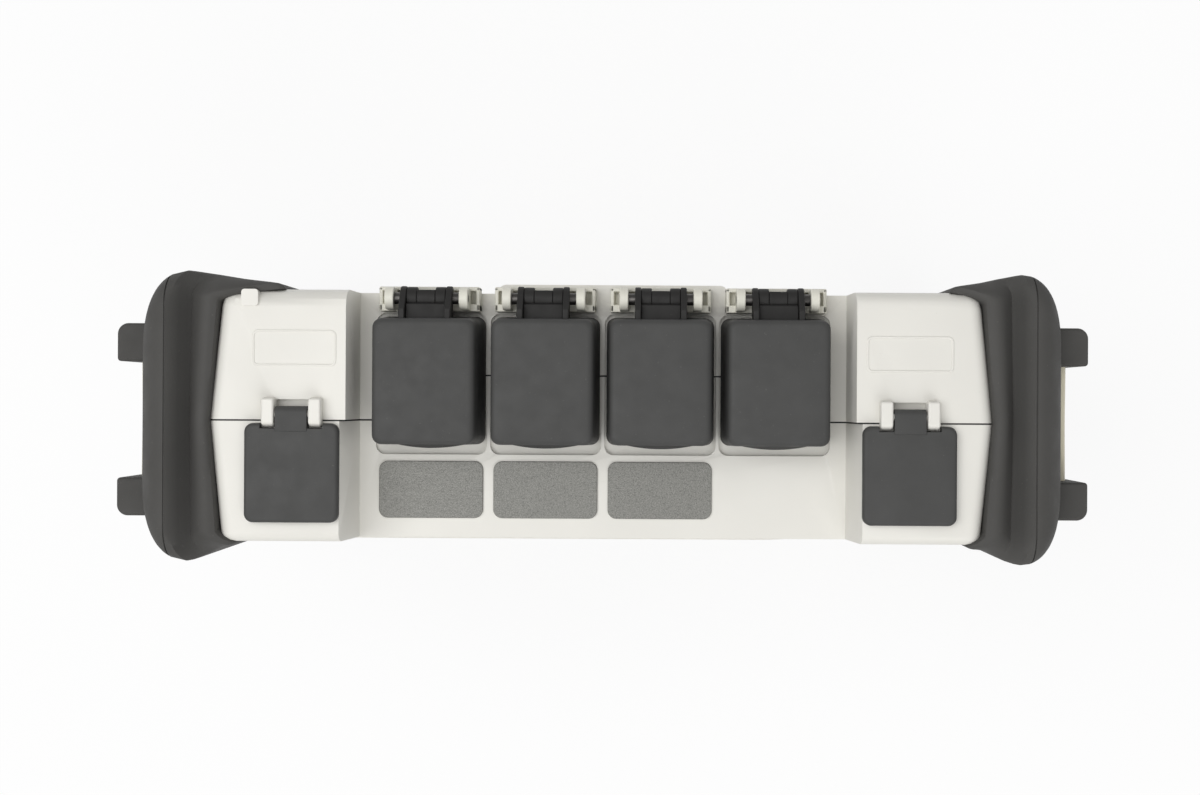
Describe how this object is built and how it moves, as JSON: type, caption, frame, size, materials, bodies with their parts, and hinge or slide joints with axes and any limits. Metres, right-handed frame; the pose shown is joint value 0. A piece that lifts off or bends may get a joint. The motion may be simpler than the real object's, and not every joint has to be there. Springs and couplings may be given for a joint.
{
  "type": "optical time domain reflectometer",
  "caption": "Landscape handheld fibre tester with hinged rubber port caps on top, side covers, rubber bumpers, screen and keys in front, kickstand behind.",
  "frame": {"origin": "middle of the footprint, on the surface that the tester stands on", "axes": "+X along the width, the screen faces -Y, the fibre ports face +Z"},
  "size_m": [0.2528, 0.0736, 0.168],
  "materials": {
    "cap_rubber": "matte",
    "bumper_rubber": "matte",
    "shell_white": "fine matt texture",
    "bar_cream": "satin",
    "pin_steel": "dark satin",
    "adapter_metal": "nickel plated",
    "adapter_plastic": "satin",
    "plate_grey": "fine grained",
    "socket_metal": "stamped sheet",
    "socket_black": "satin",
    "circuit_green": "solder mask",
    "module_metal": "milled",
    "battery_wrap": "shrink wrap",
    "lens_glass": "glossy",
    "display_black": "glossy",
    "lamp_clear": "clear",
    "seal_black": "matte",
    "key_power": "silk",
    "key_grey": "silk"
  },
  "bodies": {
    "tester": {"battery_cover": "shell_white", "battery_pack": "battery_wrap", "bumper_left": "bumper_rubber", "bumper_right": "bumper_rubber", "cover_bracket_left": "shell_white", "cover_bracket_right": "shell_white", "display_lens": "lens_glass", "display_module": "display_black", "front_shell": "shell_white", "hinge_bracket_1": "shell_white", "hinge_bracket_2": "shell_white", "hinge_bracket_3": "shell_white", "hinge_bracket_4": "shell_white", "hinge_pin_1": "pin_steel", "hinge_pin_2": "pin_steel", "hinge_pin_3": "pin_steel", "hinge_pin_4": "pin_steel", "key_board": "circuit_green", "kickstand_pin": "pin_steel", "label_plate_1": "plate_grey", "label_plate_2": "plate_grey", "label_plate_3": "plate_grey", "lamp_windows": "lamp_clear", "main_board": "circuit_green", "micro_usb_socket": "socket_metal", "network_jack": "socket_black", "optical_adapter_1": "adapter_plastic", "optical_adapter_2": "adapter_plastic", "optical_adapter_3": "adapter_plastic", "optical_adapter_4": "adapter_metal", "optical_module": "module_metal", "power_jack": "socket_black", "rear_shell": "shell_white", "shell_seal": "seal_black", "strap_bar_left": "bar_cream", "strap_bar_right": "bar_cream", "usb_socket": "socket_metal"},
    "port_cap_1": {"port_cap_1": "cap_rubber"},
    "port_cap_2": {"port_cap_2": "cap_rubber"},
    "port_cap_3": {"port_cap_3": "cap_rubber"},
    "port_cap_4": {"port_cap_4": "cap_rubber"},
    "side_cover_left": {"side_cover_left": "cap_rubber"},
    "side_cover_right": {"side_cover_right": "cap_rubber"},
    "arrow_key_down": {"arrow_key_down": "key_grey"},
    "arrow_key_left": {"arrow_key_left": "key_grey"},
    "arrow_key_right": {"arrow_key_right": "key_grey"},
    "arrow_key_up": {"arrow_key_up": "key_grey"},
    "function_key_1": {"function_key_1": "key_grey"},
    "function_key_2": {"function_key_2": "key_grey"},
    "function_key_3": {"function_key_3": "key_grey"},
    "function_key_4": {"function_key_4": "key_grey"},
    "function_key_5": {"function_key_5": "key_grey"},
    "function_key_6": {"function_key_6": "key_grey"},
    "ok_key": {"ok_key": "key_grey"},
    "power_key": {"power_key": "key_power"},
    "kickstand": {"kickstand": "shell_white"}
  },
  "joints": [
    {"name": "port_cap_1_open", "type": "hinge", "parent": "tester", "child": "port_cap_1", "pos_m": [-0.04485, 0.0303, 0.156], "axis": [-1, 0, 0], "range_deg": [0, 115]},
    {"name": "port_cap_2_open", "type": "hinge", "parent": "tester", "child": "port_cap_2", "pos_m": [-0.01495, 0.0303, 0.156], "axis": [-1, 0, 0], "range_deg": [0, 115]},
    {"name": "port_cap_3_open", "type": "hinge", "parent": "tester", "child": "port_cap_3", "pos_m": [0.01495, 0.0303, 0.156], "axis": [-1, 0, 0], "range_deg": [0, 115]},
    {"name": "port_cap_4_open", "type": "hinge", "parent": "tester", "child": "port_cap_4", "pos_m": [0.04485, 0.0303, 0.156], "axis": [-1, 0, 0], "range_deg": [0, 115]},
    {"name": "side_cover_left_open", "type": "hinge", "parent": "tester", "child": "side_cover_left", "pos_m": [-0.0775, 0.0009, 0.1645], "axis": [-1, 0, 0], "range_deg": [0, 110]},
    {"name": "side_cover_right_open", "type": "hinge", "parent": "tester", "child": "side_cover_right", "pos_m": [0.0775, 0.0009, 0.1645], "axis": [-1, 0, 0], "range_deg": [0, 110]},
    {"name": "kickstand_swing", "type": "hinge", "parent": "tester", "child": "kickstand", "pos_m": [0.0025, 0.0326, 0.118], "axis": [1, 0, 0], "range_deg": [0, 38]},
    {"name": "arrow_key_down_press", "type": "slide", "parent": "tester", "child": "arrow_key_down", "axis": [0, 1, 0], "range_m": [0, 0.0012], "stiffness_N_per_m": 400},
    {"name": "arrow_key_left_press", "type": "slide", "parent": "tester", "child": "arrow_key_left", "axis": [0, 1, 0], "range_m": [0, 0.0012], "stiffness_N_per_m": 400},
    {"name": "arrow_key_right_press", "type": "slide", "parent": "tester", "child": "arrow_key_right", "axis": [0, 1, 0], "range_m": [0, 0.0012], "stiffness_N_per_m": 400},
    {"name": "arrow_key_up_press", "type": "slide", "parent": "tester", "child": "arrow_key_up", "axis": [0, 1, 0], "range_m": [0, 0.0012], "stiffness_N_per_m": 400},
    {"name": "function_key_1_press", "type": "slide", "parent": "tester", "child": "function_key_1", "axis": [0, 1, 0], "range_m": [0, 0.0012], "stiffness_N_per_m": 400},
    {"name": "function_key_2_press", "type": "slide", "parent": "tester", "child": "function_key_2", "axis": [0, 1, 0], "range_m": [0, 0.0012], "stiffness_N_per_m": 400},
    {"name": "function_key_3_press", "type": "slide", "parent": "tester", "child": "function_key_3", "axis": [0, 1, 0], "range_m": [0, 0.0012], "stiffness_N_per_m": 400},
    {"name": "function_key_4_press", "type": "slide", "parent": "tester", "child": "function_key_4", "axis": [0, 1, 0], "range_m": [0, 0.0012], "stiffness_N_per_m": 400},
    {"name": "function_key_5_press", "type": "slide", "parent": "tester", "child": "function_key_5", "axis": [0, 1, 0], "range_m": [0, 0.0012], "stiffness_N_per_m": 400},
    {"name": "function_key_6_press", "type": "slide", "parent": "tester", "child": "function_key_6", "axis": [0, 1, 0], "range_m": [0, 0.0012], "stiffness_N_per_m": 400},
    {"name": "ok_key_press", "type": "slide", "parent": "tester", "child": "ok_key", "axis": [0, 1, 0], "range_m": [0, 0.0012], "stiffness_N_per_m": 400},
    {"name": "power_key_press", "type": "slide", "parent": "tester", "child": "power_key", "axis": [0, 1, 0], "range_m": [0, 0.0012], "stiffness_N_per_m": 400}
  ]
}
